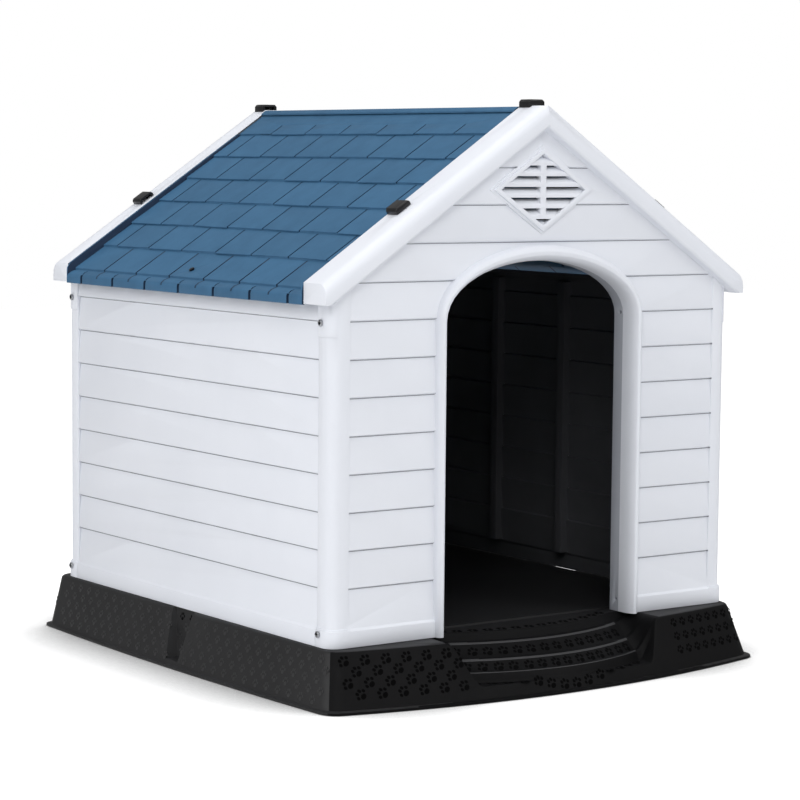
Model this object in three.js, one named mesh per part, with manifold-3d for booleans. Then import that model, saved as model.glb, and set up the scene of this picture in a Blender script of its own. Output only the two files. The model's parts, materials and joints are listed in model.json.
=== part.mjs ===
import * as THREE from "three";
import { mergeVertices } from "three/addons/utils/BufferGeometryUtils.js";
import Module from "manifold-3d";

const wasm = await Module();
wasm.setup();

// Driving sizes in millimetres. The front faces -Y, +Z is up, and the
// assembly stands on z = 0 with its footprint centred on the origin.
const board = 46;
const wallWidth = 630;
const wallDepth = 658;
const boardRows = 8;
const lapDepth = 3.5;
const skin = 4;
const gap = 0.35;

const baseHeight = 71;
const baseSkin = 3.5;
const frontToe = 86;
const rearToe = 28;
const sideToe = 33;
const sideBow = 5.5;
const frontBow = 46;
const frontLean = 31.5;
const sideLedge = 7;
const rearLedge = 20;
const flangeWide = 5.5;
const flangeThick = 3;
const floorLift = 2.4;
const notchWide = 54;
const notchDeep = 7.5;
const notchLean = 12;
const notchFoot = 9;
const notchShift = 6;
const notchTaper = 26;
const padFront = 42;
const padRear = 24;
const trayRibStep = 160;
const trayRibHalf = 2;
const trayRibDeep = 4.5;
const rampInset = 14.5;
const rampSpread = 36;
const rampStart = 12;
const rampCurve = 0.0017;
const rampSlope = 0.69;
const rampStep = 5.2;
const rampRibTall = 2.6;
const rampRiser = 2;
const rampFoot = 18;
const bandHeight = 23;
const bandProud = 3;

const roofSlope = 0.662;
const panelSteeper = 0.038;
const trimDrop = 33;
const trimProud = 11.5;
const frontTrimCover = 37;
const rearTrimCover = 31;
const trimOverhang = 17;
const trimLipDrop = 25.5;
const coveWide = 34;
const coveTall = 13;
const peakCut = 5;
const trimRise = 56.87;

const cornerWrap = 29;
const cornerRound = 14;
const postWide = 26;
const sideRibStep = 153.18;
const bossProud = 1.2;
const bossBelow = 19;

const doorWidth = 297;
const doorRise = 72;
const doorFrameSide = 13.6;
const doorFrameTop = 20;
const doorFrameProud = 10.5;
const doorReveal = 34;

const ventWide = 154;
const ventTall = 103;
const ventLower = 3.9;
const ventPad = 4;
const ventRim = 6.9;
const ventProud = 2.6;
const slatCount = 6;
const slatPitch = 13.3;
const slatLip = 6;
const slatRise = 6.8;
const ventBar = 9;

const firstCourse = 68.5;
const courseStep = 54.1;
const courseDepth = 2.6;
const roofSkin = 4;
const tabWide = 86;
const tabGroove = 2.2;
const eaveReach = 19;
const eaveRound = 4.5;
const eaveSlit = 5;
const ridgeLip = 18.6;
const tabShift = 38;
const roofScrewShift = 2;
const roofScrewUp = 25;
const rimThick = 2.5;

const clipLong = 24;
const clipWide = 22;
const clipTall = 8;
const clipDown = 242;
const screwHead = 8.4;
const screwShank = 4;

const halfWide = wallWidth / 2;
const rampHalf = doorWidth / 2 - rampInset;
const rampOpenHalf = rampHalf + rampSpread;
const yFront = -(wallDepth + frontToe + rearToe) / 2 + frontToe;
const yRear = yFront + wallDepth;
const wallFoot = baseHeight + gap;
const bandTop = wallFoot + bandHeight;
const firstGroove = bandTop + board + 2.3;
const springZ = firstGroove + board * (boardRows - 1);
const apexZ = springZ + trimRise + roofSlope * halfWide;
const slopeLength = Math.hypot(1, roofSlope);
const downX = 1 / slopeLength;
const downZ = roofSlope / slopeLength;
const panelSlope = roofSlope + panelSteeper;
const panelX = 1 / Math.hypot(1, panelSlope);
const panelZ = panelSlope * panelX;
const big = 4000;
const turnDown = (halfWide + eaveReach - eaveRound) / panelX;
const panelUnder = courseDepth + roofSkin + 0.6;
const courseCount = Math.floor((turnDown - firstCourse) / courseStep) + 1;

const white = new THREE.MeshStandardMaterial({ color: 0xe3e6ec, roughness: 0.45, metalness: 0 });
const blue = new THREE.MeshStandardMaterial({ color: 0x4b7697, roughness: 0.5, metalness: 0 });
const black = new THREE.MeshStandardMaterial({ color: 0x222222, roughness: 0.5, metalness: 0 });
const clipBlack = new THREE.MeshStandardMaterial({ color: 0x0e0e0e, roughness: 0.35, metalness: 0 });
const steel = new THREE.MeshStandardMaterial({ color: 0xb4b4b4, roughness: 0.3, metalness: 1 });

// Geometry helpers: three.js makes every shape, the solids only join and cut.
function toSolid(geometry) {
  const plain = geometry.index ? geometry.toNonIndexed() : geometry.clone();
  plain.deleteAttribute("normal");
  plain.deleteAttribute("uv");
  const merged = mergeVertices(plain, 1e-4);
  const vertProperties = new Float32Array(merged.attributes.position.array);
  const triVerts = new Uint32Array(merged.index.array);
  if (signedVolume(vertProperties, triVerts) < 0) {
    for (let k = 0; k < triVerts.length; k += 3) {
      [triVerts[k + 1], triVerts[k + 2]] = [triVerts[k + 2], triVerts[k + 1]];
    }
  }
  return new wasm.Manifold(new wasm.Mesh({ numProp: 3, vertProperties, triVerts }));
}

function signedVolume(points, triangles) {
  let sum = 0;
  const corner = (k) => new THREE.Vector3().fromArray(points, triangles[k] * 3);
  for (let k = 0; k < triangles.length; k += 3) {
    sum += corner(k).dot(corner(k + 1).cross(corner(k + 2)));
  }
  return sum;
}

function toMesh(solid, name, material) {
  const data = solid.getMesh();
  const geometry = new THREE.BufferGeometry();
  geometry.setAttribute("position", new THREE.BufferAttribute(new Float32Array(data.vertProperties), 3));
  geometry.setIndex(new THREE.BufferAttribute(new Uint32Array(data.triVerts), 1));
  const flat = geometry.toNonIndexed();
  flat.computeVertexNormals();
  const mesh = new THREE.Mesh(flat, material);
  mesh.name = name;
  return mesh;
}

function extruded(points, depth) {
  const ordered = THREE.ShapeUtils.isClockWise(points) ? [...points].reverse() : points;
  return new THREE.ExtrudeGeometry(new THREE.Shape(ordered), { depth, bevelEnabled: false, steps: 1 });
}

function placed(points, depth, xAxis, yAxis, origin) {
  const zAxis = new THREE.Vector3().crossVectors(xAxis, yAxis);
  const matrix = new THREE.Matrix4().makeBasis(xAxis, yAxis, zAxis).setPosition(origin);
  return toSolid(extruded(points, depth).applyMatrix4(matrix));
}

const axisX = new THREE.Vector3(1, 0, 0);
const axisY = new THREE.Vector3(0, 1, 0);
const axisZ = new THREE.Vector3(0, 0, 1);
const v2 = (a, b) => new THREE.Vector2(a, b);
const v3 = (a, b, c) => new THREE.Vector3(a, b, c);

// Profiles drawn in y and z, run along x.
function alongX(points, x0, x1) {
  return placed(points, x1 - x0, axisY, axisZ, v3(x0, 0, 0));
}

// Profiles drawn in x and z, run along y.
function alongY(points, y0, y1) {
  return placed(points, y1 - y0, axisX, axisZ, v3(0, y1, 0));
}

// Profiles drawn in x and y, run along z.
function alongZ(points, z0, z1) {
  return placed(points, z1 - z0, axisX, axisY, v3(0, 0, z0));
}

function box(x0, x1, y0, y1, z0, z1) {
  const geometry = new THREE.BoxGeometry(x1 - x0, y1 - y0, z1 - z0);
  geometry.translate((x0 + x1) / 2, (y0 + y1) / 2, (z0 + z1) / 2);
  return toSolid(geometry);
}

function rod(radius, length, sides, axis, start) {
  const geometry = new THREE.CylinderGeometry(radius, radius, length, sides);
  geometry.translate(0, length / 2, 0);
  const turn = new THREE.Quaternion().setFromUnitVectors(axisY, axis);
  geometry.applyQuaternion(turn);
  geometry.translate(start.x, start.y, start.z);
  return toSolid(geometry);
}

// A closed body through rings of equal length; each ring is a list of points.
function loft(rings) {
  const count = rings[0].length;
  const positions = [];
  rings.forEach((ring) => ring.forEach((p) => positions.push(p.x, p.y, p.z)));
  const index = [];
  for (let r = 0; r < rings.length - 1; r += 1) {
    for (let i = 0; i < count; i += 1) {
      const j = (i + 1) % count;
      const a = r * count + i;
      const b = r * count + j;
      index.push(a, b, b + count, a, b + count, a + count);
    }
  }
  for (const [row, flip] of [[0, true], [rings.length - 1, false]]) {
    const flat = flatten(rings[row]);
    for (const [a, b, c] of THREE.ShapeUtils.triangulateShape(flat, [])) {
      const start = row * count;
      index.push(start + a, start + (flip ? c : b), start + (flip ? b : c));
    }
  }
  const geometry = new THREE.BufferGeometry();
  geometry.setAttribute("position", new THREE.Float32BufferAttribute(positions, 3));
  geometry.setIndex(index);
  return geometry;
}

// The ring seen along its own normal, for closing its end.
function flatten(ring) {
  const normal = v3(0, 0, 0);
  ring.forEach((p, i) => {
    const q = ring[(i + 1) % ring.length];
    normal.add(new THREE.Vector3().crossVectors(p, q));
  });
  normal.normalize();
  const helper = Math.abs(normal.z) > 0.9 ? axisX : axisZ;
  const u = new THREE.Vector3().crossVectors(helper, normal).normalize();
  const w = new THREE.Vector3().crossVectors(normal, u);
  return ring.map((p) => v2(p.dot(u), p.dot(w)));
}

function joinAll(solids) {
  return solids.reduce((sum, solid) => sum.add(solid));
}

function cutAll(solid, cuts) {
  return cuts.reduce((rest, cut) => rest.subtract(cut), solid);
}

const mirrorX = (solid) => solid.mirror([1, 0, 0]);

// Wall panels are drawn with their siding face at y = 0 and the room at +y.
function toFront(solid) {
  return solid.translate([0, yFront, 0]);
}

function toRear(solid) {
  return solid.mirror([0, 1, 0]).translate([0, yRear, 0]);
}

// Lapped boards as [depth, height] from the band up: each board stands flush
// at its foot and leans back towards the foot of the next one.
function lapLine(top) {
  const line = [v2(-bandProud, wallFoot), v2(-bandProud, bandTop - 3), v2(-0.5, bandTop)];
  let foot = bandTop;
  let next = firstGroove;
  while (next < top) {
    line.push(v2(lapDepth, next - 0.4));
    line.push(v2(0, next + 0.9));
    foot = next;
    next += board;
  }
  line.push(v2((lapDepth * (top - foot)) / board, top));
  return line;
}

function lapSheet(top) {
  const outer = lapLine(top);
  const inner = outer.map((p) => v2(p.x + skin, p.y)).reverse();
  return [...outer, ...inner];
}

// Everything below a line parallel to the roof, this far under the trim top.
function underRoof(drop) {
  const reach = 900;
  const low = apexZ - drop - reach * roofSlope;
  const outline = [v2(-reach, -50), v2(reach, -50), v2(reach, low), v2(0, apexZ - drop), v2(-reach, low)];
  return alongY(outline, -900, 900);
}

// Gable trim: one raking arm of rounded channel with a shelf for the roof.
function armOutline(cover) {
  const points = [v2(cover, 0), v2(2, 0)];
  for (let k = 1; k <= 4; k += 1) {
    const a = (k / 4) * (Math.PI / 2);
    points.push(v2(2 - (trimProud + 2) * Math.sin(a), -14 * (1 - Math.cos(a))));
  }
  points.push(v2(-trimProud, -24));
  points.push(v2(-trimProud + 1.5, -26.3));
  points.push(v2(-3, -trimDrop * downX));
  return points;
}

function armShell(cover) {
  const outer = armOutline(cover);
  const foot = -trimDrop * downX;
  const inner = [v2(skin, foot), v2(skin, foot + skin), v2(-1.5, foot + skin)];
  inner.push(v2(-trimProud + skin + 1.5, -20.5));
  inner.push(v2(-trimProud + skin, -16));
  for (let k = 3; k >= 0; k -= 1) {
    const a = (k / 4) * (Math.PI / 2);
    const across = trimProud + 2 - skin;
    inner.push(v2(2 - across * Math.sin(a), -skin - 10 * (1 - Math.cos(a))));
  }
  const sag = (panelUnder / panelX + panelSteeper * (halfWide + 2)) * downX;
  const shelfTop = -sag - 0.5;
  inner.push(v2(cover - skin, -skin));
  inner.push(v2(cover - skin, shelfTop - 3.5));
  inner.push(v2(cover + 15, shelfTop - 3.5));
  inner.push(v2(cover + 15, shelfTop));
  inner.push(v2(cover, shelfTop));
  return [...outer, ...inner];
}

function armSolid(cover) {
  const foot = -trimDrop * downX;
  return [...armOutline(cover), v2(skin, foot), v2(cover, foot + 8)];
}

function arm(points) {
  const along = v3(downX, 0, downZ);
  const up = v3(-downZ, 0, downX);
  const start = v3(0, 0, apexZ).addScaledVector(along, -halfWide - 200);
  return placed(points, halfWide + 280, axisY, up, start).subtract(box(0.02, big, -big, big, -big, big));
}

function gableTrim(cover) {
  const tipX = -halfWide - trimOverhang;
  const tipZ = apexZ + roofSlope * tipX - trimLipDrop;
  const outside = box(-big, tipX, -big, big, -big, big);
  const whole = arm(armSolid(cover)).subtract(outside);
  const shell = arm(armShell(cover)).subtract(outside);
  const tip = whole.intersect(box(tipX, tipX + 17, -big, big, -big, big));
  const peak = whole.intersect(box(-26, 1, -big, big, apexZ - 18, big));
  const one = joinAll([shell, tip, peak]);
  const cove = [v2(-big, -big), v2(-big, tipZ), v2(tipX + 10, tipZ)];
  for (let k = 1; k <= 6; k += 1) {
    const a = (k / 6) * Math.PI;
    cove.push(v2(tipX + 10 + (coveWide * k) / 6, tipZ + (coveTall * (1 - Math.cos(a))) / 2));
  }
  cove.push(v2(tipX + 10 + coveWide, -big));
  const below = alongY(cove, -big, big);
  const eaveRoom = box(-big, -halfWide - 2, cover + 0.1, big, -big, big);
  const ridgeRoom = box(-15, big, cover + 0.1, big, -big, big);
  const half = cutAll(one, [below, eaveRoom, ridgeRoom]);
  const both = half.add(mirrorX(half));
  return both.subtract(box(-big, big, -big, big, apexZ - peakCut, big));
}

// Corner posts wrap from the gable wall round to the side wall.
function postOutline(proud, wide, wrap) {
  const edge = -halfWide - proud;
  const face = -proud;
  const radius = cornerRound + proud;
  const points = [v2(-halfWide + wide, face)];
  for (let k = 0; k <= 5; k += 1) {
    const a = (k / 5) * (Math.PI / 2);
    points.push(v2(edge + radius - radius * Math.sin(a), face + radius - radius * Math.cos(a)));
  }
  points.push(v2(edge, wrap));
  points.push(v2(edge + skin, wrap));
  for (let k = 5; k >= 0; k -= 1) {
    const a = (k / 5) * (Math.PI / 2);
    const r = radius - skin;
    points.push(v2(edge + radius - r * Math.sin(a), face + radius - r * Math.cos(a)));
  }
  points.push(v2(-halfWide + wide, face + skin));
  return points;
}

function cornerPost() {
  const post = alongZ(postOutline(0, postWide, cornerWrap), wallFoot, springZ + 52);
  const band = alongZ(postOutline(bandProud, postWide, cornerWrap), wallFoot, bandTop - 2);
  const bandLip = alongZ(postOutline(bandProud / 2, postWide, cornerWrap), wallFoot, bandTop);
  const bossFoot = springZ - bossBelow;
  const boss = alongZ(postOutline(bossProud, postWide, cornerWrap), bossFoot, springZ + 52);
  const sideOnly = box(-big, -halfWide + 8, -bossProud / 2, big, -big, big);
  return joinAll([post, band, bandLip, boss.intersect(sideOnly)]);
}

// Door outline blended from the clear opening (0) to the frame's outer edge (1).
function doorPoint(part, turn) {
  const wide = doorWidth / 2 + doorFrameSide * part;
  const tall = doorRise + doorFrameTop * part;
  const spring = springZ - board * 0.1;
  return v2(-wide * Math.cos(turn), spring + tall * Math.sin(turn));
}

function doorLine(part) {
  const foot = doorPoint(part, 0);
  const line = [v2(foot.x, wallFoot)];
  const steps = 24;
  for (let k = 0; k <= steps; k += 1) {
    line.push(doorPoint(part, (k / steps) * Math.PI));
  }
  line.push(v2(-foot.x, wallFoot));
  return line;
}

function doorHole(part) {
  const line = doorLine(part).map((p) => v2(p.x, p.y));
  line[0].y = -50;
  line[line.length - 1].y = -50;
  return alongY(line, -80, 200);
}

function doorFrame() {
  const p = doorFrameProud;
  const section = [
    [1, 5.5], [1, -1], [0.97, -p * 0.45], [0.84, -p * 0.8], [0.6, -p], [0.36, -p * 0.9],
    [0.16, -p * 0.5], [0.04, 1], [0, 9], [0, doorReveal], [0.28, doorReveal], [0.28, 5.5],
  ];
  const lines = section.map(([part]) => doorLine(part));
  const rings = lines[0].map((_, k) => section.map(([, y], s) => v3(lines[s][k].x, y, lines[s][k].y)));
  return toSolid(loft(rings));
}

const archTop = doorPoint(1, Math.PI / 2).y;
const ventMiddle = (archTop + apexZ - trimDrop) / 2 - ventLower;

function diamond(grow) {
  const tall = ventTall / 2 + grow;
  const wide = (tall * ventWide) / ventTall;
  return [v2(-wide, ventMiddle), v2(0, ventMiddle - tall), v2(wide, ventMiddle), v2(0, ventMiddle + tall)];
}

// Louvres of the gable vent inside their raised rim.
function louvres() {
  const back = skin + lapDepth;
  const lip = -ventProud + 0.8;
  const rim = alongY(diamond(0), -ventProud, back).subtract(alongY(diamond(-ventRim), -20, 30));
  const inside = alongY(diamond(-ventRim + 1), -20, 30);
  const slatZ = (k) => ventMiddle + ((slatCount - 1) / 2 - k) * slatPitch - 4.1;
  const slats = [];
  for (let k = 0; k <= slatCount; k += 1) {
    const z = slatZ(k);
    const high = z + slatLip + slatRise;
    const blade = [
      v2(lip, z + 1), v2(lip, z + slatLip), v2(back - 1.4, high), v2(back, high), v2(back, high - 1.4),
      v2(lip + 2.2, z + 1),
    ];
    slats.push(alongX(blade, -ventWide, ventWide));
  }
  const bar = box(-ventBar / 2, ventBar / 2, lip, back, slatZ(slatCount - 1) + 1, slatZ(0) + slatLip);
  return rim.add(joinAll([...slats, bar]).intersect(inside));
}

function screwHoles(inset) {
  const heights = [wallFoot + 16, springZ - 2];
  return heights.map((z) => rod(screwShank / 2 + 0.35, big, 16, axisX, v3(-big / 2, inset, z)));
}

const frontScrewInset = 22;
const rearScrewInset = 15;
const frontClipY = 24.5;
const rearClipY = 14;

// Each clip sits on its own frame: feet of the clip at the frame's origin.
function clipFrames(inset) {
  const left = v3(-downX * clipDown, inset, apexZ - downZ * clipDown);
  return {
    left: new THREE.Matrix4().makeBasis(v3(downX, 0, downZ), axisY, v3(-downZ, 0, downX)).setPosition(left),
    peak: new THREE.Matrix4().makeBasis(axisX, axisY, axisZ).setPosition(v3(0, inset, apexZ - peakCut)),
    right: new THREE.Matrix4().makeBasis(v3(downX, 0, -downZ), axisY, v3(downZ, 0, downX))
      .setPosition(v3(-left.x, inset, left.z)),
  };
}

const pegHalf = 2.4;
const pegDeep = 9;

function moved(solid, matrix) {
  return solid.transform(matrix.elements);
}

function pegHoles(inset) {
  const frames = Object.values(clipFrames(inset));
  const holes = [];
  for (const frame of frames) {
    for (const side of [-1, 1]) {
      const x = side * (clipLong / 2 - 5);
      const grow = pegHalf + 0.4;
      holes.push(moved(box(x - grow, x + grow, -grow, grow, -pegDeep - 6, 3), frame));
    }
  }
  return holes;
}

function gableWall(cover, screwInset, clipInset, hasDoor) {
  const fieldTop = apexZ - trimDrop + 3;
  const sheetHalf = halfWide - postWide + 4;
  const sheet = alongX(lapSheet(fieldTop), -sheetHalf, sheetHalf).intersect(underRoof(trimDrop - 4));
  const post = cornerPost().intersect(underRoof(6));
  const pieces = [sheet, post, mirrorX(post), gableTrim(cover)];
  let wall = joinAll(pieces);
  if (hasDoor) {
    wall = wall.subtract(doorHole(0.6));
    wall = wall.add(doorFrame());
    wall = wall.add(alongY(diamond(ventPad), 0, skin + lapDepth));
    wall = wall.subtract(alongY(diamond(-ventRim), -40, 60));
    wall = wall.add(louvres());
  }
  const holes = screwHoles(screwInset);
  return cutAll(wall, [...holes, ...pegHoles(clipInset)]);
}

// Side wall, drawn with its siding face at x = 0 and the room at +x.
function sideWall() {
  const top = springZ + 32;
  const y0 = yFront + cornerWrap + gap;
  const y1 = yRear - cornerWrap - gap;
  const sheet = alongY(lapSheet(top), y0, y1);
  const tongueIn = skin + gap;
  const tongueEnd = tongueIn + skin;
  const tuck = cornerRound - 1;
  const wrapFront = box(tongueIn, tongueEnd, yFront + tuck, y0 + 12, wallFoot, top);
  const wrapRear = box(tongueIn, tongueEnd, y1 - 12, yRear - tuck, wallFoot, top);
  const ribs = [-1, 0, 1].map((k) => {
    const middle = (y0 + y1) / 2 + k * sideRibStep;
    return box(skin - 1, skin + 13, middle - 8, middle + 8, bandTop + 2, top - 12);
  });
  const rail = box(lapDepth, skin + 9, y0, y1, top - skin, top);
  let wall = joinAll([sheet, wrapFront, wrapRear, rail, ...ribs]);
  for (const z of [wallFoot + 16, springZ - 2]) {
    for (const y of [yFront + frontScrewInset, yRear - rearScrewInset]) {
      wall = wall.subtract(rod(screwShank / 2 + 0.3, 60, 16, axisX, v3(-20, y, z)));
    }
  }
  return wall.translate([-halfWide, 0, 0]);
}

// Base tray outline at one level: sides and front bow out, corners are round.
function trayRing(side, bowSide, front, bowFront, rear, radius, z) {
  const xEdge = halfWide + side;
  const y0 = yFront - front + bowFront;
  const y1 = yRear + rear;
  const frontEdge = (x) => yFront - front + bowFront * (x / xEdge) ** 2;
  const sideEdge = (y) => xEdge + bowSide * (1 - ((2 * (y - y0)) / (y1 - y0) - 1) ** 2);
  const points = [];
  const corner = (a, c, b) => {
    for (let k = 1; k < 5; k += 1) {
      const t = k / 5;
      const x = (1 - t) ** 2 * a.x + 2 * t * (1 - t) * c.x + t * t * b.x;
      const y = (1 - t) ** 2 * a.y + 2 * t * (1 - t) * c.y + t * t * b.y;
      points.push(v3(x, y, z));
    }
  };
  const steps = 14;
  for (let k = 0; k <= steps; k += 1) {
    const x = -(xEdge - radius) + (2 * (xEdge - radius) * k) / steps;
    points.push(v3(x, frontEdge(x), z));
  }
  const foreFront = v2(xEdge - radius, frontEdge(xEdge - radius));
  const foreSide = v2(sideEdge(y0 + radius), y0 + radius);
  corner(foreFront, v2(xEdge, y0), foreSide);
  for (let k = 0; k <= 8; k += 1) {
    const y = y0 + radius + ((y1 - y0 - 2 * radius) * k) / 8;
    points.push(v3(sideEdge(y), y, z));
  }
  corner(v2(sideEdge(y1 - radius), y1 - radius), v2(xEdge, y1), v2(xEdge - radius, y1));
  points.push(v3(xEdge - radius, y1, z));
  points.push(v3(-xEdge + radius, y1, z));
  corner(v2(-xEdge + radius, y1), v2(-xEdge, y1), v2(-sideEdge(y1 - radius), y1 - radius));
  for (let k = 8; k >= 0; k -= 1) {
    const y = y0 + radius + ((y1 - y0 - 2 * radius) * k) / 8;
    points.push(v3(-sideEdge(y), y, z));
  }
  corner(v2(-foreSide.x, foreSide.y), v2(-xEdge, y0), v2(-foreFront.x, foreFront.y));
  return points;
}

// Skirt face at a share of its height: 0 at the flange, 1 at the top ledge.
function skirtRing(share, inward, z) {
  const mix = (low, high) => low + (high - low) * share;
  const side = mix(sideToe - flangeWide - sideBow, sideLedge) - inward;
  const front = mix(frontToe - flangeWide, frontToe - flangeWide - frontLean) - inward;
  const bow = mix(frontBow + 2, frontBow - 9);
  const rear = mix(rearToe - flangeWide, rearLedge) - inward;
  return trayRing(side, mix(sideBow + 5, 0), front, bow, rear, 20, z);
}

const rampRibs = [12.4, 36.8, 56];
const rampRibHalf = 4;

// Entrance ramp: how far it drops, this far in front of its upper edge.
function rampDrop(run) {
  if (run <= 0) {
    return 0;
  }
  const gentle = Math.min(run, rampRibs[rampRibs.length - 1]);
  const ribs = rampRibs.map((at) => {
    const off = Math.abs(gentle - at);
    return off < rampRibHalf ? rampRibTall * Math.cos((off / rampRibHalf) * (Math.PI / 2)) : 0;
  });
  const tread = rampSlope * gentle + rampStep * Math.min(1, run / 6) - Math.max(...ribs);
  return Math.min(tread + rampRiser * (run - gentle), baseHeight - rampFoot);
}

// The room above the ramp, grown sideways and lowered for the tray's inner face.
function scoop(spread, lower) {
  const flatHalf = rampHalf + spread;
  const openHalf = rampOpenHalf + spread;
  const wallSteps = 7;
  const xs = [];
  for (let k = 0; k < wallSteps; k += 1) {
    xs.push(-openHalf + ((openHalf - flatHalf) * k) / wallSteps);
  }
  for (let k = 0; k <= 12; k += 1) {
    xs.push(-flatHalf + (2 * flatHalf * k) / 12);
  }
  for (let k = wallSteps - 1; k >= 0; k -= 1) {
    xs.push(openHalf - ((openHalf - flatHalf) * k) / wallSteps);
  }
  const ribRuns = rampRibs.flatMap((at) => [-2, -1, 0, 1].map((k) => at + (k * rampRibHalf) / 2));
  const runs = [-2, 0, 6, ...ribRuns, 60, 62, 70, 100];
  const rings = xs.map((x) => {
    const off = Math.max(0, (Math.abs(x) - flatHalf) / (openHalf - flatHalf));
    const ease = 1 - off * off * (3 - 2 * off);
    const line = yFront - rampStart + rampCurve * Math.min(x * x, flatHalf * flatHalf);
    const top = baseHeight - lower + 0.02;
    const floor = runs.map((run) => v3(x, line - run + lower, top - rampDrop(run) * ease));
    const lid = [...floor].reverse().map((p) => v3(p.x, p.y, baseHeight + 60));
    return [...floor, ...lid];
  });
  return toSolid(loft(rings));
}

function baseTray() {
  const outer = toSolid(loft([
    skirtRing(0, -flangeWide, 0),
    skirtRing(0, -flangeWide, flangeThick),
    skirtRing(0, 0, flangeThick + 1),
    skirtRing(0.96, 0, baseHeight - 3.5),
    skirtRing(1, 1, baseHeight - 1),
    skirtRing(1, 3.5, baseHeight),
  ]));
  const inner = toSolid(loft([
    skirtRing(0, baseSkin, -5),
    skirtRing(0, baseSkin, flangeThick),
    skirtRing(1, baseSkin, baseHeight - baseSkin),
  ]));
  const middleY = (yFront + yRear) / 2;
  const notchY = middleY + notchShift;
  const notch = (grow) => {
    const out = -halfWide - sideToe - 40;
    const top = -halfWide + notchDeep - sideLedge + grow;
    const foot = notchFoot - grow;
    const line = [v2(out, foot), v2(top - notchLean, foot), v2(top, baseHeight + 5), v2(out, baseHeight + 5)];
    const y0 = notchY - notchWide / 2 - grow;
    const y1 = notchY + notchWide / 2 + grow;
    const high = baseHeight + 5;
    const cheek = [v2(y0, 0), v2(y1 - notchTaper, 0), v2(y1, high), v2(y0, high)];
    return alongY(line, y0, y1).intersect(alongX(cheek, -big, big));
  };
  const leftNotch = notch(0);
  const leftRoom = notch(baseSkin);
  const shell = cutAll(outer, [leftNotch, mirrorX(leftNotch), scoop(0, 0)]);
  const hollow = cutAll(inner, [leftRoom, mirrorX(leftRoom), scoop(baseSkin, baseSkin)]);
  const padX = halfWide - skin - lapDepth - 16;
  const pad = box(-padX, padX, yFront + padFront, yRear - padRear, baseHeight - 2, baseHeight + floorLift);
  const ribs = [];
  const ribFoot = baseHeight - baseSkin - trayRibDeep;
  const ribReach = halfWide - 30;
  for (const k of [-1, 0, 1]) {
    const x = k * trayRibStep;
    const y = middleY + 20 + k * trayRibStep;
    ribs.push(box(x - trayRibHalf, x + trayRibHalf, yFront + 30, yRear - 30, ribFoot, baseHeight - 2));
    ribs.push(box(-ribReach, ribReach, y - trayRibHalf, y + trayRibHalf, ribFoot, baseHeight - 2));
  }
  return joinAll([shell.subtract(hollow), pad, ...ribs]);
}

// Roof panel outline as [distance down the panel, height above its own plane].
function roofLine(start) {
  const line = [];
  let edge = firstCourse;
  line.push(v2(start, -1.8));
  line.push(v2(edge - 22, -1.2));
  for (let k = 0; k < courseCount; k += 1) {
    line.push(v2(edge, -0.6));
    line.push(v2(edge + 1, -0.6 - courseDepth));
    edge += courseStep;
  }
  return line;
}

function roofPoint(down, up) {
  return v2(-down * panelX - up * panelZ, apexZ - down * panelZ + up * panelX);
}

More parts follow.
